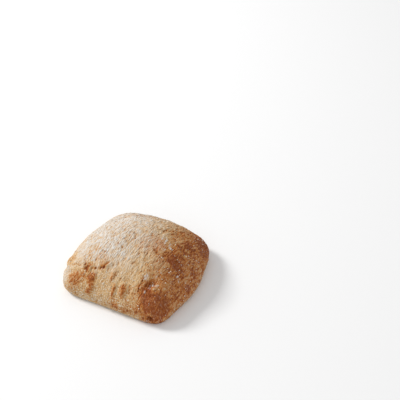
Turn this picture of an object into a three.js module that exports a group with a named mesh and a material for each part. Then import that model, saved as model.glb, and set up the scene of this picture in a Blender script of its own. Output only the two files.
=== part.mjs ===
// A square ciabatta burger bun: one pillow-shaped roll of baked dough, with a domed crust
// that is blistered and creased along its front, and a flat base.
// Millimetres, +Z up. +X is the browner side and -Y the blistered front. The origin is
// under the middle of the bun, on the surface that it rests on.

import * as THREE from "three";
import { mergeVertices } from "three/addons/utils/BufferGeometryUtils.js";

// Driving dimensions.
const crownHeight = 40.5; // from the base to the top of the dome
const rimHeight = 7.8; // height of the widest line, where the dome meets the flank
const baseShare = 0.961; // the base's reach as a share of the widest line's
const crownOffset = { x: 1, y: 6.7 }; // the dough rose higher towards the back
const dome = { spread: 1.9, fullness: 1.4 }; // exponents of the dome's profile

// Each side: how far its ends stand out from the middle, and how much it bows out further.
const sides = {
  right: { bearing: 0, reach: 48, bow: 4.7 },
  back: { bearing: 90, reach: 53.1, bow: 1.1 },
  left: { bearing: 180, reach: 49.3, bow: 5.3 },
  front: { bearing: 270, reach: 46.9, bow: -0.6 },
};
const bowHalfWidth = 45; // degrees of bearing

// Squareness of the plan's corners, as superellipse exponents. Contours round off upwards.
const corners = { rightBack: 4.6, leftBack: 4.6, leftFront: 6.2, rightFront: 7.6 };
const crownSquareness = 2.5;

// Slow swells that leave no side quite even. Rise is how much the height counts along them.
const swell = { count: 6, longest: 46, shrink: 0.78, lift: 0.3, rise: 0.7, phase: 1.7 };

// Places on the crust are a bearing, in degrees round the bun from +X, and a climb, in
// millimetres up the crust from the base's edge.

// Blisters, where the crust rose off the crumb. Length runs up the crust, width round it.
const blisters = [
  { bearing: 207, climb: 14.5, length: 13, width: 18, lift: 1.1 },
  { bearing: 232.5, climb: 17.5, length: 19, width: 20, lift: 0.8 },
  { bearing: 245.2, climb: 24, length: 16, width: 9.5, lift: 1.3 },
  { bearing: 249.2, climb: 16.8, length: 12, width: 8.5, lift: 0.8 },
  { bearing: 249.5, climb: 11, length: 9, width: 9, lift: 0.5 },
  { bearing: 266.3, climb: 31, length: 15, width: 6.5, lift: 1.1 },
  { bearing: 273.5, climb: 19.5, length: 18, width: 6, lift: 0.9 },
  { bearing: 283.2, climb: 22, length: 17, width: 9.5, lift: 1.8 },
  { bearing: 235.2, climb: 44, length: 8, width: 8, lift: 0.6 },
];

// Dents, where the crust sank back as it cooled.
const dents = [
  { bearing: 162, climb: 19, length: 26, width: 56, lift: -0.85 },
  { bearing: 195, climb: 14, length: 19, width: 26, lift: -1.1 },
  { bearing: 223, climb: 12, length: 20, width: 22, lift: -1.1 },
  { bearing: 233.5, climb: 33.2, length: 9, width: 8, lift: -1 },
  { bearing: 241.8, climb: 32.6, length: 5, width: 5, lift: -1.5 },
  { bearing: 305.3, climb: 20.4, length: 5, width: 6, lift: -1 },
  { bearing: 308.4, climb: 6.8, length: 6.4, width: 8.6, lift: -2.6 },
  { bearing: 309.3, climb: 35.2, length: 6, width: 8, lift: -0.9 },
  { bearing: 312.8, climb: 36.6, length: 15, width: 16, lift: -2 },
];

// Creases along places on the crust. Both banks rise by the lip's height. A crease of
// negative depth is a ridge.
const creases = [
  { route: [[203, 10.8], [211, 12.2], [221, 18.5], [231, 25]], width: 4.6, depth: 1.4, lip: 0.4 },
  { route: [[225.6, 34.5], [231.2, 31.8], [236.5, 28]], width: 3, depth: 1.7, lip: 0.5 },
  { route: [[235.2, 35.4], [237.8, 30], [240, 24.8]], width: 3, depth: -1.1, lip: 0 },
  { route: [[249, 32.8], [249.5, 36.8], [252.6, 42.4]], width: 2.8, depth: 1.5, lip: 0.4 },
  { route: [[304.5, 30], [309.5, 28.6]], width: 3, depth: 0.9, lip: 0.3 },
  { route: [[307.2, 36.6], [310.5, 39.4], [314.2, 41.4]], width: 2.8, depth: -0.9, lip: 0 },
  { route: [[310.5, 30.3], [315, 32], [320.5, 35]], width: 3.8, depth: -0.8, lip: 0 },
];
const routeSteps = 6; // straight pieces between one place of a crease's route and the next
const lipReach = 2.2; // how far the lips spread, in widths of the crease
const creaseTip = 0.04; // share of a crease's length that its ends taper from
const creaseTaper = 0.6; // exponent of the taper

const markDepth = 30; // a blister or dent doesn't reach through to the other side of the bun
const fadeHeight = 5; // the relief dies out over this height, so the base stays flat
const topCells = 44; // mesh cells along each side of the bun
const flankCells = 14; // mesh cells down each flank
const topShare = 0.7; // share of the walk from the crown to the rim that the top grid takes
const climbSteps = 400; // steps that a climb's length is measured in
const bearingStep = 0.01; // radians to the next climb, which gives the way round the bun
const weldGap = 1e-3; // points nearer than this are one

const goldenAngle = Math.PI * (3 - Math.sqrt(5));
const radians = THREE.MathUtils.degToRad;

// 1 in the middle of a window and 0 at its ends, for a bearing in radians.
function sideWindow(bearing, middle) {
  const turn = THREE.MathUtils.euclideanModulo(THREE.MathUtils.radToDeg(bearing) - middle + 180, 360) - 180;
  const share = THREE.MathUtils.clamp(turn / bowHalfWidth, -1, 1);
  return Math.cos((share * Math.PI) / 2) ** 2;
}

// How far the plan reaches at a bearing, for the contour that lies at a share of the way out.
function planReach(bearing, share) {
  const c = Math.cos(bearing);
  const s = Math.sin(bearing);
  const halfX = c >= 0 ? sides.right.reach : sides.left.reach;
  const halfY = s >= 0 ? sides.back.reach : sides.front.reach;
  const backCorner = c >= 0 ? corners.rightBack : corners.leftBack;
  const frontCorner = c >= 0 ? corners.rightFront : corners.leftFront;
  const corner = s >= 0 ? backCorner : frontCorner;
  const power = THREE.MathUtils.lerp(crownSquareness, corner, share ** 3);
  let reach = (Math.abs(c / halfX) ** power + Math.abs(s / halfY) ** power) ** (-1 / power);
  for (const side of Object.values(sides)) reach += side.bow * sideWindow(bearing, side.bearing);
  return reach;
}

// The crust without its relief. walk is 0 at the crown, 1 at the rim and 2 at the base's edge.
function crust(bearing, walk) {
  let share, z;
  if (walk < 1) {
    const angle = (walk * Math.PI) / 2;
    share = Math.sin(angle) ** (2 / dome.spread);
    const power = THREE.MathUtils.lerp(2 / dome.fullness, 1, walk ** 6); // round where it meets the flank
    z = rimHeight + (crownHeight - rimHeight) * Math.cos(angle) ** power;
  } else {
    const angle = ((walk - 1) * Math.PI) / 2;
    share = baseShare + (1 - baseShare) * Math.cos(angle);
    z = rimHeight * (1 - Math.sin(angle));
  }
  const contour = Math.min(share, 1);
  const lean = walk < 1 ? 1 - contour ** 2 : 0;
  const reach = planReach(bearing, walk < 1 ? contour : 1) * share;
  return new THREE.Vector3(
    reach * Math.cos(bearing) + lean * crownOffset.x,
    reach * Math.sin(bearing) + lean * crownOffset.y,
    z,
  );
}

// The walk up the crust at one bearing, as a curve from the base's edge to the crown.
class Climb extends THREE.Curve {
  constructor(bearing) {
    super();
    this.bearing = bearing;
    this.arcLengthDivisions = climbSteps;
  }
  getPoint(t, target = new THREE.Vector3()) {
    return target.copy(crust(this.bearing, 2 * (1 - t)));
  }
}

// A place on the crust, with the directions up it, round it and out of it.
function placeOn(bearingDegrees, climb) {
  const bearing = radians(bearingDegrees);
  const curve = new Climb(bearing);
  const u = climb / curve.getLength();
  const at = curve.getPointAt(u);
  const up = curve.getTangentAt(u);
  const beside = new Climb(bearing + bearingStep).getPointAt(u).sub(at);
  const out = new THREE.Vector3().crossVectors(beside, up).normalize();
  const round = new THREE.Vector3().crossVectors(up, out);
  return { at, up, round, out };
}

const mounds = [...blisters, ...dents].map((mark) => ({ ...mark, ...placeOn(mark.bearing, mark.climb) }));

const creasePaths = creases.map((crease) => {
  const path = [];
  for (let i = 0; i < (crease.route.length - 1) * routeSteps; i++) {
    const from = crease.route[Math.floor(i / routeSteps)];
    const to = crease.route[Math.floor(i / routeSteps) + 1];
    const t = (i % routeSteps) / routeSteps;
    path.push(placeOn(THREE.MathUtils.lerp(from[0], to[0], t), THREE.MathUtils.lerp(from[1], to[1], t)).at);
  }
  path.push(placeOn(...crease.route.at(-1)).at);
  return { ...crease, path };
});

function moundLift(p, mound) {
  const way = p.clone().sub(mound.at);
  if (way.dot(mound.out) < -markDepth) return 0;
  const up = (2 * way.dot(mound.up)) / mound.length;
  const round = (2 * way.dot(mound.round)) / mound.width;
  const near = Math.max(1 - up ** 2 - round ** 2, 0);
  return mound.lift * near ** 2;
}

// A groove with raised banks, which both fade towards the crease's ends.
function creaseLift(p, crease) {
  const pieces = crease.path.length - 1;
  const piece = new THREE.Line3();
  const closest = new THREE.Vector3();
  let gap = Infinity;
  let along = 0;
  for (let i = 0; i < pieces; i++) {
    piece.set(crease.path[i], crease.path[i + 1]);
    const t = piece.closestPointToPointParameter(p, true);
    const distance = piece.at(t, closest).distanceTo(p);
    if (distance < gap) {
      gap = distance;
      along = (i + t) / pieces;
    }
  }
  const taper = Math.sin(Math.PI * THREE.MathUtils.clamp(along, creaseTip, 1 - creaseTip)) ** creaseTaper;
  const groove = Math.exp(-((gap / (0.5 * crease.width)) ** 2));
  const bank = Math.exp(-((gap / (lipReach * crease.width)) ** 2));
  return taper * (crease.lip * bank - (crease.depth + crease.lip) * groove);
}

function swellLift(p) {
  let sum = 0;
  for (let i = 0; i < swell.count; i++) {
    const size = swell.shrink ** i;
    const turn = i * goldenAngle;
    const along = p.x * Math.cos(turn) + p.y * Math.sin(turn) + swell.rise * p.z;
    sum += size * Math.sin((2 * Math.PI * along) / (swell.longest * size) + swell.phase * i);
  }
  return swell.lift * sum;
}

// How far the crust stands out from its plain form at a point of it.
function relief(p) {
  let lift = swellLift(p);
  for (const mound of mounds) lift += moundLift(p, mound);
  for (const crease of creasePaths) lift += creaseLift(p, crease);
  return lift * THREE.MathUtils.smoothstep(p.z, 0, fadeHeight);
}

// Dome and flanks: a box's grid, without its underside, laid over the crust.
function crustGeometry() {
  const box = new THREE.BoxGeometry(2, 2, 2, topCells, topCells, flankCells);
  const underside = box.groups[box.groups.length - 1];
  box.setIndex(Array.from(box.index.array.slice(0, underside.start)));
  const points = box.attributes.position;
  for (let i = 0; i < points.count; i++) {
    const [x, y, z] = [points.getX(i), points.getY(i), points.getZ(i)];
    const walk = z < 1
      ? THREE.MathUtils.lerp(2, topShare, (z + 1) / 2)
      : topShare * Math.max(Math.abs(x), Math.abs(y));
    points.setXYZ(i, ...crust(Math.atan2(y, x), walk));
  }
  return shell(box);
}

// The flat base, a face over the grid's lowest points.
function baseGeometry() {
  const rim = [];
  for (let i = 0; i < 4 * topCells; i++) {
    const side = Math.floor(i / topCells);
    const step = (2 * (i % topCells)) / topCells - 1;
    const bearing = Math.atan2(step, 1) + (side * Math.PI) / 2;
    const at = crust(bearing, 2);
    rim.push(new THREE.Vector2(at.x, at.y));
  }
  const base = new THREE.ShapeGeometry(new THREE.Shape(rim));
  base.setIndex(Array.from(base.index.array).reverse()); // it faces down
  return shell(base);
}

// Only positions count here: without normals and uv, the points on a shared edge are one.
function shell(geometry) {
  geometry.deleteAttribute("normal");
  geometry.deleteAttribute("uv");
  return geometry.toNonIndexed();
}

function bunGeometry() {
  const faces = [...crustGeometry().attributes.position.array, ...baseGeometry().attributes.position.array];
  const skin = new THREE.BufferGeometry();
  skin.setAttribute("position", new THREE.Float32BufferAttribute(faces, 3));
  const bun = mergeVertices(skin, weldGap);
  bun.computeVertexNormals();
  const points = bun.attributes.position;
  const normals = bun.attributes.normal;
  for (let i = 0; i < points.count; i++) {
    const p = new THREE.Vector3().fromBufferAttribute(points, i);
    const out = new THREE.Vector3().fromBufferAttribute(normals, i);
    p.addScaledVector(out, relief(p));
    points.setXYZ(i, ...p);
  }
  bun.computeBoundingBox();
  const middle = bun.boundingBox.getCenter(new THREE.Vector3());
  bun.translate(-middle.x, -middle.y, 0);
  bun.computeVertexNormals();
  return bun;
}

const crustMaterial = new THREE.MeshStandardMaterial({ color: 0xb28c6c, roughness: 0.82, metalness: 0 });

const ciabattaBun = new THREE.Group();
const bun = new THREE.Mesh(bunGeometry(), crustMaterial);
bun.name = "ciabatta_bun";
ciabattaBun.add(bun);

export default ciabattaBun;
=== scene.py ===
# A square ciabatta burger bun, baked and floured, on a pale floor.
# Metres, +Z up. The imported solid gives the bun's place, and the fine crust goes over it.

import math

import bmesh
import bpy
import numpy as np
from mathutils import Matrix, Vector, noise
from mathutils.kdtree import KDTree


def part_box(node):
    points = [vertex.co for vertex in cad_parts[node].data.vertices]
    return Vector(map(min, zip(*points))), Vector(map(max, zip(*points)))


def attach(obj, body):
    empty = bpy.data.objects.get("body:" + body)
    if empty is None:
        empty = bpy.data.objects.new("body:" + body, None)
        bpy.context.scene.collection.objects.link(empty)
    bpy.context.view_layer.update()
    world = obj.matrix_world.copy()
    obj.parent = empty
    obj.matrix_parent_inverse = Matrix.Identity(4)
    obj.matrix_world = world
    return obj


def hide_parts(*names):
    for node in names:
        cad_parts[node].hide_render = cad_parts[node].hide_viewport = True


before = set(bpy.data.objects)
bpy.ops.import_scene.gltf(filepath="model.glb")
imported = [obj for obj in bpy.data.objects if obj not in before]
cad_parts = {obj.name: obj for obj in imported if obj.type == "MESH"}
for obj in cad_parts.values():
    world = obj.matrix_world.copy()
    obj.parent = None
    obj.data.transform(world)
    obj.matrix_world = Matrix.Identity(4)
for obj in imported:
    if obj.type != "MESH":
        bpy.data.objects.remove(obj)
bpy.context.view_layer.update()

cadLow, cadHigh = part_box("ciabatta_bun")
print("frame loaded, bun of", [round(1000 * d, 1) for d in cadHigh - cadLow], "mm")

cameraSettings = {
    "azimuth": 26.69,      # degrees round from the front
    "elevation": 39.05,    # degrees above the floor
    "distance": 0.846,
    "lookAt": (0.0033, 0.1041, 0),   # the bun stands in the lower left of the frame
    "lens": 85,            # mm
    "sensor": 36,          # mm
    "clipStart": 0.01,
}


def makeCamera(settings):
    turn = math.radians(settings["azimuth"])
    lift = math.radians(settings["elevation"])
    level = math.cos(lift)
    back = Vector((math.sin(turn) * level, -math.cos(turn) * level, math.sin(lift)))
    camera = bpy.data.objects.new("camera", bpy.data.cameras.new("camera"))
    camera.data.lens = settings["lens"]
    camera.data.sensor_width = settings["sensor"]
    camera.data.clip_start = settings["clipStart"]
    camera.location = Vector(settings["lookAt"]) + settings["distance"] * back
    camera.rotation_euler = back.to_track_quat("Z", "Y").to_euler()
    bpy.context.scene.collection.objects.link(camera)
    bpy.context.scene.camera = camera


makeCamera(cameraSettings)
print("camera placed")

# The bun's plain form, before any mark on its crust
bunForm = {
    "crownHeight": 0.0405,         # from the base to the top of the dome
    "rimHeight": 0.0078,           # the widest line, where the dome meets the flank
    "baseShare": 0.961,            # the base's reach against the widest line's
    "crownOffset": (0.001, 0.0067),
    "spread": 1.9,                 # the dome's profile: how far out its shoulder lies
    "fullness": 1.4,               # and how high it stays on the way there
    "fullnessEnd": 6,              # higher keeps that fullness nearer to the rim
    "crownSquareness": 2.5,        # 2 is round
    "squarenessEnd": 3,            # higher keeps the top round nearer to the rim
    # bearing of each side: reach of its ends, and how much it bows out further
    "sides": {0: (0.048, 0.0047), 90: (0.0531, 0.0011), 180: (0.0493, 0.0053), 270: (0.0469, -0.0006)},
    "corners": {"rightBack": 4.6, "leftBack": 4.6, "leftFront": 6.2, "rightFront": 7.6},
    "bowHalfWidth": 45,            # degrees
}


def sideWindow(bearing, middle):
    turn = (np.degrees(bearing) - middle + 180) % 360 - 180
    share = np.clip(turn / bunForm["bowHalfWidth"], -1, 1)
    return np.cos(share * math.pi / 2) ** 2


def planReach(bearing, share):
    c, s = np.cos(bearing), np.sin(bearing)
    sides, corners = bunForm["sides"], bunForm["corners"]
    halfX = np.where(c >= 0, sides[0][0], sides[180][0])
    halfY = np.where(s >= 0, sides[90][0], sides[270][0])
    backCorner = np.where(c >= 0, corners["rightBack"], corners["leftBack"])
    frontCorner = np.where(c >= 0, corners["rightFront"], corners["leftFront"])
    corner = np.where(s >= 0, backCorner, frontCorner)
    crown = bunForm["crownSquareness"]
    power = crown + (corner - crown) * share ** bunForm["squarenessEnd"]
    reach = (np.abs(c / halfX) ** power + np.abs(s / halfY) ** power) ** (-1 / power)
    for middle, (_, bow) in sides.items():
        reach = reach + bow * sideWindow(bearing, middle)
    return reach


# walk is 0 at the crown, 1 at the rim and 2 at the base's edge
def crust(bearing, walk):
    onDome = walk < 1
    domeAngle = np.clip(walk, 0, 1) * math.pi / 2
    crownPower = 2 / bunForm["fullness"]
    power = crownPower + (1 - crownPower) * np.clip(walk, 0, 1) ** bunForm["fullnessEnd"]
    domeShare = np.sin(domeAngle) ** (2 / bunForm["spread"])
    domeHeight = bunForm["crownHeight"] - bunForm["rimHeight"]
    rise = domeHeight * np.clip(np.cos(domeAngle), 0, 1) ** power
    flankAngle = np.clip(walk - 1, 0, 1) * math.pi / 2
    flankShare = bunForm["baseShare"] + (1 - bunForm["baseShare"]) * np.cos(flankAngle)
    share = np.where(onDome, domeShare, flankShare)
    flankHeight = bunForm["rimHeight"] * (1 - np.sin(flankAngle))
    z = np.where(onDome, bunForm["rimHeight"] + rise, flankHeight)
    lean = np.where(onDome, 1 - domeShare ** 2, 0)
    reach = planReach(bearing, np.where(onDome, domeShare, 1)) * share
    x = reach * np.cos(bearing) + lean * bunForm["crownOffset"][0]
    y = reach * np.sin(bearing) + lean * bunForm["crownOffset"][1]
    return np.stack([x, y, z], axis=-1)


climbSteps = 800        # points that a climb from the base's edge to the crown is measured by
slopeSteps = 4          # of them, to each side, that give the slope at a place
besideTurn = 0.01       # radians round the bun, to a place beside


# A place on the crust: a bearing in degrees round the bun from +X, and a climb up the crust
# from the base's edge. Gives the point and the directions up, round and out.
def placeOn(bearingDegrees, climb):
    walks = np.linspace(2, 0, climbSteps + 1)

    def climbTo(bearing):
        points = crust(np.full(walks.shape, bearing), walks)
        steps = np.linalg.norm(np.diff(points, axis=0), axis=1)
        lengths = np.concatenate([[0], np.cumsum(steps)])
        reached = np.array([np.interp(climb, lengths, points[:, k]) for k in range(3)])
        return reached, points, lengths

    bearing = math.radians(bearingDegrees)
    at, points, lengths = climbTo(bearing)
    beside, _, _ = climbTo(bearing + besideTurn)
    here = int(np.searchsorted(lengths, climb))
    up = points[min(here + slopeSteps, climbSteps)] - points[max(here - slopeSteps, 0)]
    up = up / np.linalg.norm(up)
    out = np.cross(beside - at, up)
    out = out / np.linalg.norm(out)
    return at, up, np.cross(up, out), out


# The mesh: a box's grid laid over the bun, with a coarser grid under the flat base
bunMesh = {
    "cells": 208,         # along each side of the top
    "flankRows": 56,      # down each flank
    "topShare": 0.7,      # share of the walk from crown to rim that the top grid takes
    "baseStep": 4,        # top cells to one cell of the base
    "baseInset": 0.975,   # the coarser grid's reach against the base's edge
}


# Points of a square grid from -1 to 1, its four-sided faces and its border walked once round
def squareGrid(cells):
    steps = np.linspace(-1, 1, cells + 1)
    u, v = (g.ravel() for g in np.meshgrid(steps, steps, indexing="ij"))
    index = np.arange((cells + 1) ** 2).reshape(cells + 1, cells + 1)
    corners = [index[:-1, :-1], index[1:, :-1], index[1:, 1:], index[:-1, 1:]]
    faces = np.stack(corners, axis=-1).reshape(-1, 4)
    border = np.concatenate([index[:-1, 0], index[-1, :-1], index[:0:-1, -1], index[0, :0:-1]])
    return u, v, faces, border


def bunGrid():
    u, v, topFaces, border = squareGrid(bunMesh["cells"])
    top = crust(np.arctan2(v, u), bunMesh["topShare"] * np.maximum(np.abs(u), np.abs(v)))
    bearings = np.arctan2(v[border], u[border])
    walks = np.linspace(bunMesh["topShare"], 2, bunMesh["flankRows"] + 1)[1:]
    flanks = [crust(bearings, np.full(bearings.shape, walk)) for walk in walks]
    u, v, baseFaces, baseBorder = squareGrid(bunMesh["cells"] // bunMesh["baseStep"])
    inward = bunMesh["baseInset"] * np.maximum(np.abs(u), np.abs(v))
    base = crust(np.arctan2(v, u), np.full(u.shape, 2.0))
    base = base * np.stack([inward, inward, 0 * inward], axis=-1)
    points = np.concatenate([top, *flanks, base])

    around = np.arange(len(border))
    rings = [border] + [len(top) + len(border) * k + around for k in range(len(walks))]
    faces = topFaces.tolist()
    for upper, lower in zip(rings[:-1], rings[1:]):
        corners = [upper, lower, np.roll(lower, -1), np.roll(upper, -1)]
        faces += np.stack(corners, axis=-1).tolist()
    firstBase = len(points) - len(base)
    faces += (firstBase + baseFaces[:, ::-1]).tolist()
    # the strip between the flank's last ring and the coarser base
    outer, inner, step = rings[-1], firstBase + baseBorder, bunMesh["baseStep"]
    for k in range(len(inner)):
        edge = [int(outer[(step * k + i) % len(outer)]) for i in range(step, -1, -1)]
        nextInner = inner[(k + 1) % len(inner)]
        faces.append([edge[-1], int(inner[k]), int(nextInner), *edge[:-1]])
    return points, faces


def meshFrom(name, points, faces):
    mesh = bpy.data.meshes.new(name)
    mesh.from_pydata(points.tolist(), [], faces)
    mesh.update()
    return mesh


def normalsOf(mesh):
    normals = np.zeros(3 * len(mesh.vertices), np.float32)
    mesh.vertex_normals.foreach_get("vector", normals)
    return normals.reshape(-1, 3).astype(float)


bunPoints, bunFaces = bunGrid()
plainMesh = meshFrom("plain", bunPoints, bunFaces)
bunNormals = normalsOf(plainMesh)
bpy.data.meshes.remove(plainMesh)
print("plain form:", len(bunPoints), "points")


def smooth(x, low, high):
    t = np.clip((x - low) / (high - low), 0, 1)
    return t * t * (3 - 2 * t)


seedShift = 17.3      # how far apart the noise of one seed lies from the next
noiseGain = 1.6       # brings the noise to about -1 to 1
# The noises that are the same in every direction: size of their bumps, and seed
evenNoises = {
    "ragged": (0.0024, 1),
    "fleck": (0.0012, 7),
    "pebble": (0.0010, 3),
    "patchy": (0.012, 5),
    "blotch": (0.0085, 6),
    "spots": (0.0034, 8),
    "wander": (0.009, 11),
}


# Soft noise over the points, with bumps of the given size along x, y and z
def grain(points, size, seed):
    scaled = points / np.array(size) + seedShift * seed
    return noiseGain * np.array([noise.noise(Vector(p)) for p in scaled.tolist()])


def evenGrain(name):
    size, seed = evenNoises[name]
    return grain(bunPoints, (size, size, size), seed)


# Noise that is drawn out along a line turned from +Y. Drift bends that line sideways.
def drawnGrain(points, drift, across, along, turnDegrees, seed):
    c, s = math.cos(math.radians(turnDegrees)), math.sin(math.radians(turnDegrees))
    x = c * points[:, 0] + s * points[:, 1] + drift
    y = -s * points[:, 0] + c * points[:, 1]
    return grain(np.stack([x, y, points[:, 2]], -1), (across, along, along), seed)


goldenAngle = math.pi * (3 - math.sqrt(5))
swell = {
    "count": 6,
    "longest": 0.046,
    "shrink": 0.78,     # length and lift of each wave against the one before
    "lift": 0.0003,
    "rise": 0.7,        # how steeply the waves run up the crust
    "phase": 1.7,
}


# Slow swells that leave no side quite even
def swellLift(points):
    total = 0
    for i in range(swell["count"]):
        size = swell["shrink"] ** i
        turn = i * goldenAngle
        along = points @ np.array([math.cos(turn), math.sin(turn), swell["rise"]])
        angle = 2 * math.pi * along / (swell["longest"] * size) + swell["phase"] * i
        total = total + size * np.sin(angle)
    return swell["lift"] * total


# Blisters and dents: bearing, climb, length up the crust, width round it, lift, browning
blisters = {
    "leftLobe": (232.5, 0.0175, 0.019, 0.020, 0.0008, 0.08),
    "belowFold": (245.2, 0.0240, 0.016, 0.0095, 0.0013, 0.50),
    "belowFoldLow": (249.2, 0.0168, 0.012, 0.0085, 0.0008, 0.32),
    "lowSpecks": (249.5, 0.0110, 0.009, 0.009, 0.0005, 0.34),
    "slim": (266.3, 0.0310, 0.015, 0.0060, 0.0012, 0.40),
    "slimLow": (273.5, 0.0195, 0.018, 0.0055, 0.0010, 0.34),
    "big": (283.2, 0.0220, 0.017, 0.0095, 0.0020, 0.46),
    "pale": (235.2, 0.0440, 0.007, 0.007, 0.0007, 0.05),
    "leftFlap": (207.0, 0.0145, 0.013, 0.018, 0.0011, 0.05),
}
dents = {
    "leftShoulder": (162.0, 0.0190, 0.026, 0.056, -0.00085, 0.0),
    "flapHollow": (195.0, 0.0140, 0.019, 0.026, -0.0011, 0.0),
    "lobeHollow": (223.0, 0.0120, 0.020, 0.022, -0.0011, 0.0),
    # browning in the crater, its pocket and its corner: partly browner crust, partly painted shade in
    # the hollow
    "crater": (312.8, 0.0366, 0.015, 0.016, -0.0021, 0.10),
    "craterPocket": (309.3, 0.0352, 0.0060, 0.0080, -0.0010, 0.15),
    "craterCorner": (316.5, 0.0432, 0.0036, 0.0052, -0.0008, 0.30),
    "foldHollow": (233.5, 0.0332, 0.009, 0.0075, -0.0010, 0.45),
    "pit": (241.8, 0.0326, 0.0036, 0.0032, -0.0013, 0.50),
    "slitPit": (250.0, 0.0346, 0.0046, 0.0040, -0.0009, 0.34),
    "slitPitHigh": (249.9, 0.0392, 0.0040, 0.0028, -0.0006, 0.26),
    "lowPit": (305.3, 0.0204, 0.0030, 0.0044, -0.0013, 0.60),
    # the hole's deep browning: partly browner crust, partly painted shade in the hole
    "hole": (308.4, 0.0068, 0.0050, 0.0080, -0.0040, 1.90),
}

# Creases: route of (bearing, climb), width, depth, lip on both banks, browning.
# A negative depth is a ridge, and a negative browning is paler.
creases = {
    "leftFold": (
        ((203, 0.0108), (211, 0.0122), (221, 0.0185), (231, 0.025)), 0.0034, 0.0017, 0.0005, 0.10
    ),
    "foldLine": (((225.6, 0.0345), (231.2, 0.0318), (236.5, 0.0280)), 0.0026, 0.0014, 0.0004, 0.60),
    "foldLeftRidge": (((225.2, 0.0340), (232.8, 0.0290), (240, 0.0245)), 0.0019, -0.0010, 0.0, -0.30),
    "foldRightRidge": (((235.2, 0.0354), (237.8, 0.0300), (240.0, 0.0248)), 0.0020, -0.0013, 0.0, -0.30),
    "pitLip": (((240.4, 0.0302), (243.8, 0.0300)), 0.0018, -0.0007, 0.0, -0.20),
    "slit": (((249.0, 0.0328), (249.5, 0.0368), (252.6, 0.0424)), 0.0028, 0.0003, 0.0003, 0.36),
    "slitBank": (((252.4, 0.0335), (252.6, 0.0368), (255.0, 0.0410)), 0.0020, -0.0008, 0.0, -0.15),
    "slitBeside": (((247.4, 0.0322), (246.0, 0.0358)), 0.0016, 0.0007, 0.0003, 0.34),
    "craterLip": (((310.5, 0.0303), (315, 0.0320), (320.5, 0.0350)), 0.0024, -0.0013, 0.0, -0.34),
    "craterRidge": (((307.2, 0.0366), (310.5, 0.0394), (314.2, 0.0414)), 0.0018, -0.0011, 0.0, -0.25),
    "belowCrater": (((304.5, 0.0300), (309.5, 0.0286)), 0.0020, 0.0009, 0.0003, 0.60),
    "brightStreak": (((304.6, 0.0266), (307.0, 0.0296)), 0.0013, -0.0007, 0.0, -0.45),
    "holeRim": (((305.4, 0.0088), (308.4, 0.0116), (311.8, 0.0092)), 0.0018, -0.0006, 0.0, -0.45),
}
markDepth = 0.030     # a mark doesn't reach through to the other side of the bun
markEdges = {
    "routeSteps": 6,        # straight pieces between one place of a route and the next
    "lipReach": 2.2,        # how far a crease's banks spread, in widths
    "bankBrowning": 0.25,   # how brown the banks are against the groove
    "tip": 0.04,            # share of a crease's length that its ends taper from
    "taper": 0.6,           # higher makes a crease slimmer towards its ends
    # shares of the ragged noise in a mark's lift, and in a crease's width and depth
    "raggedLift": 0.35,
    "raggedWidth": 0.25,
    "raggedDepth": 0.5,
    # shares of the ragged noise and of the finer flecks in a blotch's edge
    "raggedBlotch": 0.28,
    "fleckBlotch": 0.38,
    "bare": (0.05, 0.45),   # flour doesn't stay on the marks, from this browning to that
}


def moundMask(points, bearing, climb, length, width):
    at, up, around, out = placeOn(bearing, climb)
    way = points - at
    near = 1 - (2 * (way @ up) / length) ** 2 - (2 * (way @ around) / width) ** 2
    return np.where(way @ out > -markDepth, np.clip(near, 0, 1) ** 2, 0)


# Gap to a route, and how far along it the nearest place is, 0 to 1
def routeGap(points, route):
    stops = []
    for start, end in zip(route[:-1], route[1:]):
        for t in np.linspace(0, 1, markEdges["routeSteps"], endpoint=False):
            bearing = start[0] + t * (end[0] - start[0])
            climb = start[1] + t * (end[1] - start[1])
            stops.append(placeOn(bearing, climb)[0])
    stops.append(placeOn(*route[-1])[0])
    gap = np.full(len(points), 1.0)
    along = np.zeros(len(points))
    for i, (a, b) in enumerate(zip(stops[:-1], stops[1:])):
        t = np.clip((points - a) @ (b - a) / ((b - a) @ (b - a)), 0, 1)
        distance = np.linalg.norm(points - a - t[:, None] * (b - a), axis=1)
        closer = distance < gap
        gap = np.where(closer, distance, gap)
        along = np.where(closer, (i + t) / (len(stops) - 1), along)
    return gap, along


# A patch's soft mask turned into a blotch with uneven, grainy edges
def blotchy(mask):
    uneven = 1 + markEdges["raggedBlotch"] * ragged + markEdges["fleckBlotch"] * fleck
    return smooth(mask * uneven, 0.0, 1.0)


ragged = evenGrain("ragged")
fleck = evenGrain("fleck")
lift = swellLift(bunPoints)
brown = np.zeros(len(bunPoints))
for bearing, climb, length, width, height, browning in [*blisters.values(), *dents.values()]:
    mask = moundMask(bunPoints, bearing, climb, length, width)
    lift += height * mask * (1 + markEdges["raggedLift"] * ragged)
    brown += browning * blotchy(mask)
for route, width, depth, lip, browning in creases.values():
    gap, along = routeGap(bunPoints, route)
    gap = gap * (1 + markEdges["raggedWidth"] * ragged)
    along = np.clip(along, markEdges["tip"], 1 - markEdges["tip"])
    taper = np.sin(math.pi * along) ** markEdges["taper"]
    groove = taper * np.exp(-((2 * gap / width) ** 2)) * (1 + markEdges["raggedDepth"] * ragged)
    bank = taper * np.exp(-((gap / (markEdges["lipReach"] * width)) ** 2))
    lift += lip * bank - (depth + lip) * groove
    brown += browning * (groove + markEdges["bankBrowning"] * bank)
bare = smooth(brown, *markEdges["bare"])
print("marks raised")

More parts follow.
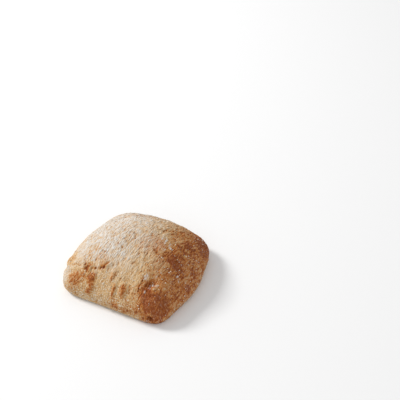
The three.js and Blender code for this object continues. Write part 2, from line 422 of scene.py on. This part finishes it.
# Small marks scattered over the crust, drawn out front to back as the dough was.
# Ranges run from the smallest to the largest of each kind. Zone says where they lie.
scatter = {
    "pinholes": {
        "count": 210, "seed": 21, "zone": "top", "turn": 14,
        "length": (0.0012, 0.0030), "width": (0.0009, 0.0014), "lift": (-0.0003, -0.0007),
        "browning": 0.34, "flour": -0.55,
    },
    "grooves": {
        "count": 150, "seed": 22, "zone": "top", "turn": 8,
        "length": (0.0025, 0.0070), "width": (0.0009, 0.0013), "lift": (-0.0002, -0.0004),
        "browning": 0.16, "flour": -0.40,
    },
    "flourLines": {
        "count": 70, "seed": 23, "zone": "floured", "turn": 9,
        "length": (0.0025, 0.0065), "width": (0.0008, 0.0012), "lift": (0.0001, 0.0003),
        "browning": -0.08, "flour": 0.35,
    },
    "bubbles": {
        "count": 120, "seed": 24, "zone": "sides", "turn": 35,
        "length": (0.0016, 0.0042), "width": (0.0012, 0.0026), "lift": (0.0002, 0.0005),
        "browning": 0.12, "flour": 0.0,
    },
    "sidePores": {
        "count": 320, "seed": 25, "zone": "sides", "turn": 50,
        "length": (0.0011, 0.0024), "width": (0.0009, 0.0015), "lift": (-0.0003, -0.0006),
        "browning": 0.36, "flour": -0.20,
    },
    "sideFlecks": {
        "count": 200, "seed": 26, "zone": "sides", "turn": 60,
        "length": (0.0010, 0.0026), "width": (0.0008, 0.0013), "lift": (0.0001, 0.0003),
        "browning": -0.22, "flour": 0.14,
    },
}
streakBearing = 85     # degrees, the way that the dough was drawn out
sizeSkew = 1.6         # higher leaves fewer large ones among the small marks
markFade = (-0.4, 0.7)    # where a small mark's soft edge starts and ends

# The grain between them. The streaks wander sideways by this much.
streakWander = 0.0010
streaks = {
    # across, along, turn from +Y in degrees, seed, lift, share in the colour (crests painted paler and
    # grooves browner: partly flour, partly painted highlight and shade)
    "fine": (0.0010, 0.0034, -5, 2, 0.00028, 0.85),
    "middle": (0.0015, 0.0058, -8, 12, 0.00019, 0.60),
    "broad": (0.0021, 0.0080, -3, 13, 0.00008, 0.20),
}
# The even grain: lift, share in the colour (pebble tops painted paler and pits browner: partly grain,
# partly painted highlight and shade), and how far the streaks take over from each
pebbles = {"lift": 0.00026, "share": 1.2, "liftUnderStreaks": 0.7, "shareUnderStreaks": 0.8}
drawing = {
    "top": (0.012, 0.030),        # heights that the top starts and is full at
    "right": 0.6,                 # how far the right side is drawn out as the top is
    "rightZone": (0.015, 0.040),
    "least": 0.30,                # and the rest of the sides
    "patchiness": 0.45,
}
# The relief is lower where the heat drew the crust tight, and where flour fills the grooves
flattening = {"baked": 0.4, "bakedZone": (0.020, 0.045), "floured": 0.2, "flouredZone": (0.0, 0.030)}
zoneEdges = {
    "topPatchiness": 0.8,
    "floured": (-0.005, 0.025),
    "sides": 1.15,                # over 1, so a few of the side's marks lie on the top
}
fadeHeight = 0.005     # the relief dies out over this height, so the base stays flat
baseHeight = 0.00012   # the base's skin, raised so that its pebbles stay above the floor
baseGap = 1e-6         # a point of the plain form that lies lower than this is on the base


def scatterMarks(kind, chance, tree):
    draw = np.random.default_rng(kind["seed"])

    def between(ends):
        return ends[0] + (ends[1] - ends[0]) * draw.random() ** sizeSkew

    raised = np.zeros(len(bunPoints))
    marked = np.zeros(len(bunPoints))
    for place in draw.choice(len(bunPoints), kind["count"], p=chance / chance.sum()):
        turn = math.radians(draw.normal(streakBearing, kind["turn"]))
        along = np.array([math.cos(turn), math.sin(turn), 0.0])
        out = bunNormals[place]
        along = along - out * (along @ out)
        along = along / np.linalg.norm(along)
        around = np.cross(out, along)
        length = between(kind["length"])
        width = between(kind["width"])
        height = between(kind["lift"])
        reach = length / 2 + width / 2
        found = np.array([i for _, i, _ in tree.find_range(bunPoints[place], reach)])
        way = bunPoints[found] - bunPoints[place]
        near = 1 - (2 * (way @ along) / length) ** 2 - (2 * (way @ around) / width) ** 2
        mask = smooth(near, *markFade)
        raised[found] += height * mask
        marked[found] = np.maximum(marked[found], mask)
    return raised, marked


x, y, z = bunPoints.T
onBase = z < baseGap
onTop = smooth(z, *drawing["top"])
drift = streakWander * evenGrain("wander")
streak = 0
streakRelief = 0
for across, along, turn, seed, height, share in streaks.values():
    layer = drawnGrain(bunPoints, drift, across, along, turn, seed)
    streak = streak + share * layer
    streakRelief = streakRelief + height * layer
pebble = evenGrain("pebble")
patchy = evenGrain("patchy")
drawnOut = np.maximum(onTop, drawing["right"] * smooth(x, *drawing["rightZone"]))
drawnOut = drawing["least"] + (1 - drawing["least"]) * drawnOut
drawnOut = np.clip(drawnOut * (1 + drawing["patchiness"] * patchy), 0, 1)
flatter = 1 - flattening["baked"] * smooth(x, *flattening["bakedZone"])
flatter -= flattening["floured"] * onTop * smooth(-x, *flattening["flouredZone"])
pebbleRelief = pebbles["lift"] * pebble * (1 - pebbles["liftUnderStreaks"] * drawnOut)
lift += (streakRelief * drawnOut + pebbleRelief) * flatter
# how far a point stands out of the grain, for the colour: crests are painted paler and grooves browner,
# partly flour and partly painted highlight and shade
crestLightAndShade = streak * drawnOut
crestLightAndShade += pebbles["share"] * pebble * (1 - pebbles["shareUnderStreaks"] * drawnOut)

pointTree = KDTree(len(bunPoints))
for i, point in enumerate(bunPoints.tolist()):
    pointTree.insert(point, i)
pointTree.balance()
zones = {
    "top": onTop * (1 + zoneEdges["topPatchiness"] * np.clip(patchy, -1, 1)),
    "floured": onTop * (1 - smooth(x, *zoneEdges["floured"])),
    "sides": np.where(onBase, 0, zoneEdges["sides"] - onTop),
}
scattered = {}
for name, kind in scatter.items():
    chance = np.clip(zones[kind["zone"]], 0, None)
    raised, scattered[name] = scatterMarks(kind, chance, pointTree)
    lift += raised
lift = lift * smooth(z, 0, fadeHeight)
shaped = bunPoints + bunNormals * lift[:, None]
shaped[onBase, 2] = np.clip(baseHeight + pebbles["lift"] * pebble[onBase], 0, None)
print("relief:", round(1000 * lift.min(), 2), "to", round(1000 * lift.max(), 2), "mm")

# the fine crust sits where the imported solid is
middle = (shaped.min(axis=0) + shaped.max(axis=0)) / 2
cadMiddle = (cadLow + cadHigh) / 2
shaped[:, 0] += cadMiddle.x - middle[0]
shaped[:, 1] += cadMiddle.y - middle[1]
print("recentred by", np.round(1000 * (np.array(cadMiddle) - middle)[:2], 2).tolist(), "mm")

# How baked the crust is: 0 barely, 1 darkest; some of it is painted light and shade, noted where it is
# laid. It browned on the right, where the heat was
baking = {
    "plain": 0.28,
    "right": 0.50,
    # y, where the brown is about full along x, and how far the change to it reaches left
    "edge": (
        (-0.045, -0.030, -0.015, 0.000, 0.020, 0.045),
        (0.029, 0.029, 0.034, 0.031, 0.032, 0.027),
        (0.010, 0.014, 0.019, 0.022, 0.022, 0.022),
    ),
    "edgeRange": (-1, 0.2),       # where the change starts and ends, in its own reach
    "edgeWaver": 0.004,
    "lowEdgePaintedLight": -0.18,             # paler close to the base: painted bounce light from the floor
    "lowZone": (0.002, 0.010),
    "blotch": 0.05,
    "spots": 0.06,
    "mottleOnTop": 0.5,           # how much less of both there is on top
    "relief": 0.13,               # how much browner the grooves are than the crests: painted shade in the grooves, painted highlight on the crests
    "reliefUnderFlour": 0.7,      # and how much of that the flour hides
}
# Browner patches: bearing, climb, length up the crust, width round it, browning
bakedPatches = {
    "rightCheek": (351, 0.0350, 0.024, 0.019, 0.38),
    "rightCheekUpper": (348, 0.0430, 0.018, 0.015, 0.17),
    "rightCheekLow": (349.5, 0.0275, 0.017, 0.0095, 0.32),
    "rightBackSpot": (28, 0.0330, 0.018, 0.014, 0.24),
    "rightLowSpot": (4.3, 0.0182, 0.014, 0.0095, 0.58),
    "rightLowEdge": (349, 0.0135, 0.013, 0.010, 0.44),
    "backRightCorner": (42, 0.0170, 0.026, 0.034, 0.50),
    "backEdge": (132, 0.0270, 0.020, 0.040, 0.14),
    "backRim": (110, 0.0430, 0.022, 0.062, 0.20),
    "backRightWarm": (30, 0.0220, 0.034, 0.044, 0.04),
    "lowGold": (302.5, 0.0110, 0.020, 0.011, -0.30),
    "lowFrontWarm": (290, 0.0110, 0.020, 0.016, 0.18),
    "frontCornerWash": (301, 0.0150, 0.040, 0.038, 0.23),
    "frontCorner": (315, 0.0170, 0.040, 0.030, 0.38),
    "frontCornerLeft": (306.5, 0.0270, 0.018, 0.016, 0.38),
    "frontCornerDark": (315.8, 0.0154, 0.014, 0.013, 0.50),
    "frontCornerEdge": (307.0, 0.0175, 0.019, 0.0075, 0.22),
    "frontCornerLow": (310, 0.0070, 0.014, 0.022, 0.22),
    "belowFoldJoin": (247.2, 0.0202, 0.0110, 0.0085, 0.24),
    "slitSide": (249.0, 0.0350, 0.013, 0.012, 0.10),
    "aboveSlit": (238, 0.0430, 0.016, 0.018, 0.20),
    "lumpLow": (248, 0.0125, 0.008, 0.007, 0.26),
    "aboveFlap": (217, 0.0430, 0.022, 0.018, 0.10),
    "bigSide": (286.0, 0.0196, 0.021, 0.0110, 0.16),
    "slimGroove": (272, 0.0190, 0.020, 0.0050, 0.22),
    "foldSide": (238, 0.0290, 0.022, 0.018, 0.30),
    "lobeSide": (233.0, 0.0188, 0.0230, 0.0220, 0.24),
    "lobeHeart": (231.0, 0.0188, 0.0180, 0.0170, 0.21),
    # paler left edge of the lobe: partly paler crust, partly painted light where the edge falls into
    # shade
    "lobeLeft": (217, 0.0110, 0.022, 0.026, -0.38),
    "leftFrontWash": (241, 0.0200, 0.034, 0.034, 0.17),
    "leftFlapStreaks": (209, 0.0195, 0.016, 0.020, 0.12),
    "leftFlapEdge": (201.5, 0.0122, 0.012, 0.012, 0.20),
    "lowFrontEdge": (280, 0.0060, 0.015, 0.036, 0.36),
    # browner middle of the top: partly tan crust, partly painted shade where the dome turns from the key
    # light
    "midTopTanAndShade": (338, 0.0630, 0.032, 0.034, 0.28),
    "lowFrontSpecks": (276, 0.0110, 0.018, 0.016, 0.26),
    "frontLeftCorner": (234, 0.0070, 0.016, 0.030, 0.22),
    "frontEdgeMiddle": (256, 0.0040, 0.011, 0.030, 0.26),
    "backLow": (95, 0.0120, 0.022, 0.050, 0.24),
    "backLeftCorner": (138, 0.0160, 0.026, 0.026, 0.16),
    "leftLow": (172, 0.0090, 0.015, 0.040, 0.18),
}
# Flour lies on the top left
flouring = {
    "most": 0.66,
    "across": (-0.020, 0.029),    # x from where it thins and to where it ends
    "waver": 0.003,
    "front": (-0.040, -0.017),    # y from where it starts and is full
    "low": (0.008, 0.026),        # and the same up the sides
    "blotch": 0.16,
    "spots": 0.10,
    "relief": 0.36,               # how much more of it the crests hold: flour on the ridges and painted highlight
    "reliefWhereBare": 0.15,
    "markLoss": 0.8,              # share of it that the browned marks lose
    "patchFleck": 0.9,            # unevenness of the patches, and their soft edge
    "patchEdge": (0.1, 0.7),
}
# and in these patches: bearing, climb, length, width, flour
flourPatches = {
    "craterBank": (307.0, 0.0402, 0.0050, 0.0044, 0.95),
    "craterBankHigh": (309.4, 0.0426, 0.0046, 0.0026, 0.60),
    "craterBankLow": (307.4, 0.0380, 0.0022, 0.0022, 0.60),
    "craterSide": (319.3, 0.0410, 0.0034, 0.0028, 0.60),
    "craterFloor": (314.2, 0.0352, 0.0030, 0.0030, 0.85),
    "craterFloorLeft": (311.0, 0.0350, 0.0020, 0.0018, 0.60),
    "craterFloorLow": (310.3, 0.0324, 0.0026, 0.0040, 0.55),
    "craterLipDust": (317.4, 0.0336, 0.0034, 0.0060, 0.34),
    "belowCraterFleck": (305.8, 0.0281, 0.0042, 0.0018, 0.80),
    "rightSpeck": (2, 0.0454, 0.0052, 0.0030, 0.90),
    "cheekSpeckHigh": (344.2, 0.0268, 0.0030, 0.0026, 0.80),
    "cheekSpeckLow": (342.2, 0.0236, 0.0026, 0.0024, 0.80),
    "crownStreakRight": (21, 0.0523, 0.0040, 0.0018, 0.60),
    "crownStreakBack": (35.5, 0.0605, 0.0040, 0.0018, 0.60),
    "scratchHigh": (16.5, 0.0545, 0.0018, 0.0085, 0.90),
    "scratchMiddle": (9.8, 0.0512, 0.0018, 0.0095, 1.00),
    "scratchLow": (5.5, 0.0474, 0.0017, 0.0080, 0.80),
    "scratchFront": (350.8, 0.0494, 0.0017, 0.0065, 0.60),
    "crownStreakFront": (263, 0.0613, 0.0080, 0.0018, 0.60),
    "crownStreakLeft": (261.8, 0.0550, 0.0060, 0.0016, 0.50),
    "thinLeft": (217, 0.0430, 0.022, 0.018, -0.28),
    "thinAboveSlit": (238, 0.0430, 0.016, 0.018, -0.25),
    "foldBare": (235, 0.0315, 0.018, 0.016, -0.55),
    "slitBare": (249.5, 0.0350, 0.014, 0.012, -0.20),
    "flapBare": (208, 0.0190, 0.018, 0.024, -0.50),
    # cream left edge: partly flour, partly painted light where the edge falls into shade
    "lobeEdge": (218, 0.0110, 0.026, 0.026, 0.44),
    "cheekDust": (326, 0.0490, 0.022, 0.020, 0.08),
    "crownDust": (340, 0.0640, 0.038, 0.040, 0.09),
    "backRimBare": (112, 0.0430, 0.020, 0.056, -0.22),
}

# Shares on the underside: even, blotches, spots and pebbles
underside = {"browning": (0.45, 0.12, 0.10, -0.08), "flour": (0.30, 0.25, 0.30, 0.20)}
# Pale specks, partly grains of flour and partly painted glints, show most low on the sides. They are
# floury at the right and where it baked less.
speckling = {
    "sides": 1.30,
    "top": -0.80,                       # change on the top
    "low": 0.50,                        # and close to the base
    "lowZone": (0.005, 0.013),
    "lostInBrown": 0.85,                # share that is lost where it baked darkest
    "brownRange": (0.35, 1.0),
    "flouryBrownRange": (0.35, 0.75),
    "behindCorner": (-0.034, -0.012),   # y from the front corner to the side behind it
    "rightLoss": 0.5,                   # on the right behind it, fewer pale ones
    "rightZone": (0.015, 0.035),
    "flourySpared": 0.3,                # and anywhere behind it, share of the floury ones' loss spared
}

blotch = evenGrain("blotch")
spots = evenGrain("spots")
edgeY, edgeX, edgeWidth = baking["edge"]
pastEdge = x - np.interp(y, edgeY, edgeX)
brown += baking["plain"]
overEdge = (pastEdge + baking["edgeWaver"] * blotch) / np.interp(y, edgeY, edgeWidth)
brown += baking["right"] * smooth(overEdge, *baking["edgeRange"])
# painted bounce light: paler close to the base
brown += baking["lowEdgePaintedLight"] * (1 - smooth(z, *baking["lowZone"]))
for bearing, climb, length, width, browning in bakedPatches.values():
    brown += browning * blotchy(moundMask(bunPoints, bearing, climb, length, width))
flour = 1 - smooth(x + flouring["waver"] * blotch, *flouring["across"])
flour *= flouring["most"] * smooth(y, *flouring["front"]) * smooth(z, *flouring["low"])
mottle = baking["blotch"] * blotch + baking["spots"] * spots
brown += mottle * (1 - baking["mottleOnTop"] * onTop)
# painted highlight and shade on the grain: grooves browner, crests paler and more floured
brown -= baking["relief"] * crestLightAndShade * flatter * (1 - baking["reliefUnderFlour"] * flour)
flourAndHighlightOnCrests = flouring["relief"] * crestLightAndShade * (flouring["reliefWhereBare"] + flour)
flour = flour * (1 + flouring["blotch"] * blotch + flouring["spots"] * spots) + flourAndHighlightOnCrests
flour = np.clip(flour * (1 - flouring["markLoss"] * bare), 0, 1)
for bearing, climb, length, width, dusting in flourPatches.values():
    mask = moundMask(bunPoints, bearing, climb, length, width)
    uneven = mask * (1 + flouring["patchFleck"] * fleck)
    flour += dusting * smooth(uneven, *flouring["patchEdge"])
for name, kind in scatter.items():
    brown += kind["browning"] * scattered[name]
    if kind["flour"] > 0:
        flour += kind["flour"] * scattered[name]
    else:
        flour *= 1 + kind["flour"] * scattered[name]
for field, shares in ((brown, underside["browning"]), (flour, underside["flour"])):
    even, blotchShare, spotShare, pebbleShare = shares
    mottled = even + blotchShare * blotch + spotShare * spots + pebbleShare * pebble
    field[onBase] = mottled[onBase]
brown = np.clip(brown, 0, 1)
flour = np.clip(flour, 0, 1)
low = 1 - smooth(z, *speckling["lowZone"])
speckled = speckling["sides"] + speckling["top"] * onTop + speckling["low"] * low
behindCorner = smooth(y, *speckling["behindCorner"])
onRight = behindCorner * smooth(x, *speckling["rightZone"])
paleSpecksAndGlints = 1 - speckling["lostInBrown"] * smooth(brown, *speckling["brownRange"])
paleSpecksAndGlints *= speckled * (1 - speckling["rightLoss"] * onRight)
lost = speckling["lostInBrown"] * smooth(brown, *speckling["flouryBrownRange"])
flourSpecksAndGlints = speckled * (1 - lost * (1 - speckling["flourySpared"] * behindCorner))
print("browning and flour laid out")

crustLook = {
    # browning: colour, from barely baked to the darkest edges
    "colours": {
        0.0: (0.66, 0.48, 0.29),
        0.25: (0.59, 0.385, 0.185),
        0.5: (0.51, 0.285, 0.120),
        0.75: (0.448, 0.161, 0.038),
        1.0: (0.246, 0.062, 0.015),
    },
    "flourColour": (0.64, 0.60, 0.55, 1),
    "roughness": 0.72,
    "flourRoughness": 0.95,
    "specular": 0.06,
    "grain": (0.0008, 0.0008, 0.0008),
    "streak": (0.0008, 0.0036, 0.0036),
    "grainDetail": 1,
    "grainMiddle": 0.5,           # the noise's middle, where the grain changes nothing
    "grainContrast": 6.5,
    "grainAndShadeBrowning": 0.21,        # how far the grain shifts the browning, paler on the bump's crests: grain colour and painted relief shade
    "grainUnderFlour": 0.2,       # share of that shift where the flour lies thick
    "grainFlourAndHighlight": 0.70,           # how far the grain shifts the flour, more on the bump's crests: flour and painted highlight
    "speck": (0.0010, 0.0010, 0.0010),
    "speckDetail": 0,
    "speckRange": (0.55, 0.70),   # from where to where in its noise a speck fades in
    # pale specks: partly grains of flour, partly painted glints
    "speckBrowning": -0.34,
    "speckFlourAndGlint": 0.34,
    "bumpDepth": 0.00022,
}


# Small helpers that keep the node tree readable
def mathNode(tree, operation, a, b, c=0.0, clamp=False):
    node = tree.nodes.new("ShaderNodeMath")
    node.operation = operation
    node.use_clamp = clamp
    for socket, value in zip(node.inputs, (a, b, c)):
        if isinstance(value, (int, float)):
            socket.default_value = value
        else:
            tree.links.new(value, socket)
    return node.outputs[0]


def noiseNode(tree, size, detail, turnDegrees=0.0):
    place = tree.nodes.new("ShaderNodeTexCoord")
    mapping = tree.nodes.new("ShaderNodeMapping")
    mapping.vector_type = "TEXTURE"      # turns first, then scales
    mapping.inputs["Rotation"].default_value = (0, 0, math.radians(turnDegrees))
    mapping.inputs["Scale"].default_value = size
    texture = tree.nodes.new("ShaderNodeTexNoise")
    texture.inputs["Scale"].default_value = 1
    texture.inputs["Detail"].default_value = detail
    tree.links.new(place.outputs["Object"], mapping.inputs["Vector"])
    tree.links.new(mapping.outputs["Vector"], texture.inputs["Vector"])
    return texture.outputs[0]


def fieldNode(tree, name):
    node = tree.nodes.new("ShaderNodeAttribute")
    node.attribute_name = name
    return node.outputs["Fac"]


def rampNode(tree, factor, colours):
    node = tree.nodes.new("ShaderNodeValToRGB")
    stops = sorted(colours.items())
    ends = node.color_ramp.elements
    ends[0].position, ends[1].position = stops[0][0], stops[-1][0]
    ends[0].color, ends[1].color = (*stops[0][1], 1), (*stops[-1][1], 1)
    for position, colour in stops[1:-1]:
        ends.new(position).color = (*colour, 1)
    tree.links.new(factor, node.inputs["Fac"])
    return node.outputs["Color"]


def mixNode(tree, factor, first, second):
    node = tree.nodes.new("ShaderNodeMix")
    node.data_type = "RGBA"
    # sockets 6 and 7 take the colours, and output 2 gives their mix
    tree.links.new(factor, node.inputs[0])
    tree.links.new(first, node.inputs[6])
    node.inputs[7].default_value = second
    return node.outputs[2]


def makeCrustMaterial():
    look = crustLook
    material = bpy.data.materials.new("crust")
    material.use_nodes = True
    tree = material.node_tree
    shader = tree.nodes["Principled BSDF"]
    grains = noiseNode(tree, look["grain"], look["grainDetail"])
    drawn = noiseNode(tree, look["streak"], look["grainDetail"], streakBearing - 90)
    # the drawn-out grain on top, and the even grain at the sides
    drawn = mathNode(tree, "SUBTRACT", drawn, grains)
    drawn = mathNode(tree, "MULTIPLY", drawn, fieldNode(tree, "drawnOut"))
    fine = mathNode(tree, "SUBTRACT", mathNode(tree, "ADD", grains, drawn), look["grainMiddle"])
    fine = mathNode(tree, "MULTIPLY", fine, look["grainContrast"])
    # the crust's own grain is dulled under flour
    flour = fieldNode(tree, "flour")
    dulled = mathNode(tree, "MULTIPLY_ADD", flour, look["grainUnderFlour"] - 1, 1.0, clamp=True)
    # the grain that raises the bump also paints its crests paler and its hollows browner: grain colour
    # and painted relief shade
    shift = mathNode(tree, "MULTIPLY", fine, dulled)
    browning = fieldNode(tree, "brown")
    browning = mathNode(tree, "MULTIPLY_ADD", shift, -look["grainAndShadeBrowning"], browning, clamp=True)
    first, last = look["speckRange"]
    speck = mathNode(tree, "SUBTRACT", noiseNode(tree, look["speck"], look["speckDetail"]), first)
    speck = mathNode(tree, "MULTIPLY", speck, 1 / (last - first), clamp=True)
    # pale specks over the crust: partly grains of flour, partly painted glints on the brown
    paleSpeckAndGlint = mathNode(tree, "MULTIPLY", speck, fieldNode(tree, "paleSpecksAndGlints"))
    browning = mathNode(tree, "MULTIPLY_ADD", paleSpeckAndGlint, look["speckBrowning"], browning, clamp=True)
    # and whiter on the bump's crests: flour and painted highlight
    gain = mathNode(tree, "MULTIPLY_ADD", fine, look["grainFlourAndHighlight"], 1.0)
    dusting = mathNode(tree, "MULTIPLY", flour, gain, clamp=True)
    flourSpeckAndGlint = mathNode(tree, "MULTIPLY", speck, fieldNode(tree, "flourSpecksAndGlints"))
    dusting = mathNode(tree, "MULTIPLY_ADD", flourSpeckAndGlint, look["speckFlourAndGlint"], dusting, clamp=True)
    baked = rampNode(tree, browning, look["colours"])
    colour = mixNode(tree, dusting, baked, look["flourColour"])
    tree.links.new(colour, shader.inputs["Base Color"])
    rougher = look["flourRoughness"] - look["roughness"]
    roughness = mathNode(tree, "MULTIPLY_ADD", dusting, rougher, look["roughness"])
    tree.links.new(roughness, shader.inputs["Roughness"])
    shader.inputs["Specular IOR Level"].default_value = look["specular"]
    bump = tree.nodes.new("ShaderNodeBump")
    bump.inputs["Distance"].default_value = look["bumpDepth"]
    tree.links.new(fine, bump.inputs["Height"])
    tree.links.new(bump.outputs["Normal"], shader.inputs["Normal"])
    return material


def addField(mesh, name, values):
    field = mesh.attributes.new(name, "FLOAT", "POINT")
    field.data.foreach_set("value", values.astype(np.float32))


def addToScene(name, mesh, material):
    piece = bpy.data.objects.new(name, mesh)
    mesh.materials.append(material)
    mesh.shade_smooth()
    bpy.context.scene.collection.objects.link(piece)
    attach(piece, "root")
    return piece


crustMesh = meshFrom("ciabatta_crust", shaped, bunFaces)
crustFields = {
    "brown": brown,
    "flour": flour,
    "drawnOut": drawnOut,
    "paleSpecksAndGlints": paleSpecksAndGlints,
    "flourSpecksAndGlints": flourSpecksAndGlints,
}
for name, values in crustFields.items():
    addField(crustMesh, name, values)
crustPiece = addToScene("ciabatta_crust", crustMesh, makeCrustMaterial())
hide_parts("ciabatta_bun")
print("crust dressed")

# Loose crumbs of flour that cling to the crust
crumbs = {
    "count": 700,
    "seed": 5,
    "smallest": 0.00015,
    "largest": 0.00050,
    "skew": 3,                    # higher leaves fewer large ones
    "stretch": (0.7, 1.3),
    "uneven": 0.15,
    "seat": 0.35,                 # height of a crumb's middle over the crust, in radii
    # chances of a crumb at a place, against 1 on the browner side
    "anywhere": 0.25,
    "onSides": 0.5,
    "brushed": (-0.02, 0.0),      # where the browner side starts, from its edge
    "cornerSides": 0.5,           # share of the side's that is left at the front corner
    "cornerBrushed": 0.4,         # and of the browner side's
    "backLoss": 0.75,             # share of the latter that is missing towards the back
    "backZone": (0.005, 0.030),
    "clearOfFloor": 0.002,
    "mottle": (0.0009, 0.0009, 0.0009),
    "mottleDetail": 1,
    "tones": {0.3: (0.66, 0.57, 0.46), 0.7: (0.76, 0.69, 0.60)},
    "roughness": 0.9,
    "specular": 0.3,
}


def makeCrumbs():
    draw = np.random.default_rng(crumbs["seed"])
    ball = bmesh.new()
    bmesh.ops.create_icosphere(ball, subdivisions=1, radius=1)
    corners = np.array([v.co for v in ball.verts])
    sides = np.array([[v.index for v in f.verts] for f in ball.faces])
    ball.free()
    # more of them on the browner side and low down, where the flour was brushed to
    brushed = smooth(pastEdge, *crumbs["brushed"])
    brushed *= crumbs["cornerBrushed"] + (1 - crumbs["cornerBrushed"]) * behindCorner
    brushed *= 1 - crumbs["backLoss"] * smooth(y, *crumbs["backZone"])
    onSides = crumbs["onSides"] * (1 - onTop)
    onSides *= crumbs["cornerSides"] + (1 - crumbs["cornerSides"]) * behindCorner
    chance = np.where(z > crumbs["clearOfFloor"], crumbs["anywhere"] + brushed + onSides, 0)
    chosen = draw.choice(len(shaped), crumbs["count"], p=chance / chance.sum())
    spread = crumbs["largest"] - crumbs["smallest"]
    points, faces = [], []
    for i, place in enumerate(chosen):
        radius = crumbs["smallest"] + spread * draw.random() ** crumbs["skew"]
        stretch = radius * draw.uniform(*crumbs["stretch"], 3)
        uneven = 1 + draw.uniform(-crumbs["uneven"], crumbs["uneven"], (len(corners), 1))
        seat = shaped[place] + bunNormals[place] * radius * crumbs["seat"]
        points.append(seat + corners * stretch * uneven)
        faces += (sides + i * len(corners)).tolist()
    return meshFrom("flour_crumbs", np.concatenate(points), faces)


def makeCrumbMaterial():
    material = bpy.data.materials.new("flour")
    material.use_nodes = True
    tree = material.node_tree
    shader = tree.nodes["Principled BSDF"]
    mottle = noiseNode(tree, crumbs["mottle"], crumbs["mottleDetail"])
    tree.links.new(rampNode(tree, mottle, crumbs["tones"]), shader.inputs["Base Color"])
    shader.inputs["Roughness"].default_value = crumbs["roughness"]
    shader.inputs["Specular IOR Level"].default_value = crumbs["specular"]
    return material


crumbPiece = addToScene("flour_crumbs", makeCrumbs(), makeCrumbMaterial())
print("crumbs scattered")

studio = {
    "floorSize": 6.0,
    "floorColour": (0.86, 0.86, 0.86, 1),
    "floorRoughness": 0.9,
    "floorGap": 0.0002,      # keeps the floor just clear of the base
    "skyColour": (1, 1, 1, 1),
    "skyStrength": 0.66,
    # place, size and power of each lamp
    "lamps": {"key": ((-1.38, 0.0, 1.08), 0.45, 24), "fill": ((0.7, -1.2, 0.5), 0.9, 1.8)},
}


def makeFloor():
    place = (0, 0, -studio["floorGap"])
    bpy.ops.mesh.primitive_plane_add(size=studio["floorSize"], location=place)
    floor = bpy.context.object
    floor.name = "floor"
    material = bpy.data.materials.new("floor")
    material.use_nodes = True
    shader = material.node_tree.nodes["Principled BSDF"]
    shader.inputs["Base Color"].default_value = studio["floorColour"]
    shader.inputs["Roughness"].default_value = studio["floorRoughness"]
    floor.data.materials.append(material)


def makeLight():
    for name, (place, size, power) in studio["lamps"].items():
        light = bpy.data.lights.new(name, "AREA")
        light.size = size
        light.energy = power
        lamp = bpy.data.objects.new(name, light)
        lamp.location = place
        lamp.rotation_euler = Vector(place).to_track_quat("Z", "Y").to_euler()
        bpy.context.scene.collection.objects.link(lamp)
    world = bpy.data.worlds.new("studio")
    world.use_nodes = True
    sky = world.node_tree.nodes["Background"]
    sky.inputs["Color"].default_value = studio["skyColour"]
    sky.inputs["Strength"].default_value = studio["skyStrength"]
    bpy.context.scene.world = world
    bpy.context.scene.view_settings.view_transform = "Standard"


makeFloor()
makeLight()
print("floor and light set")
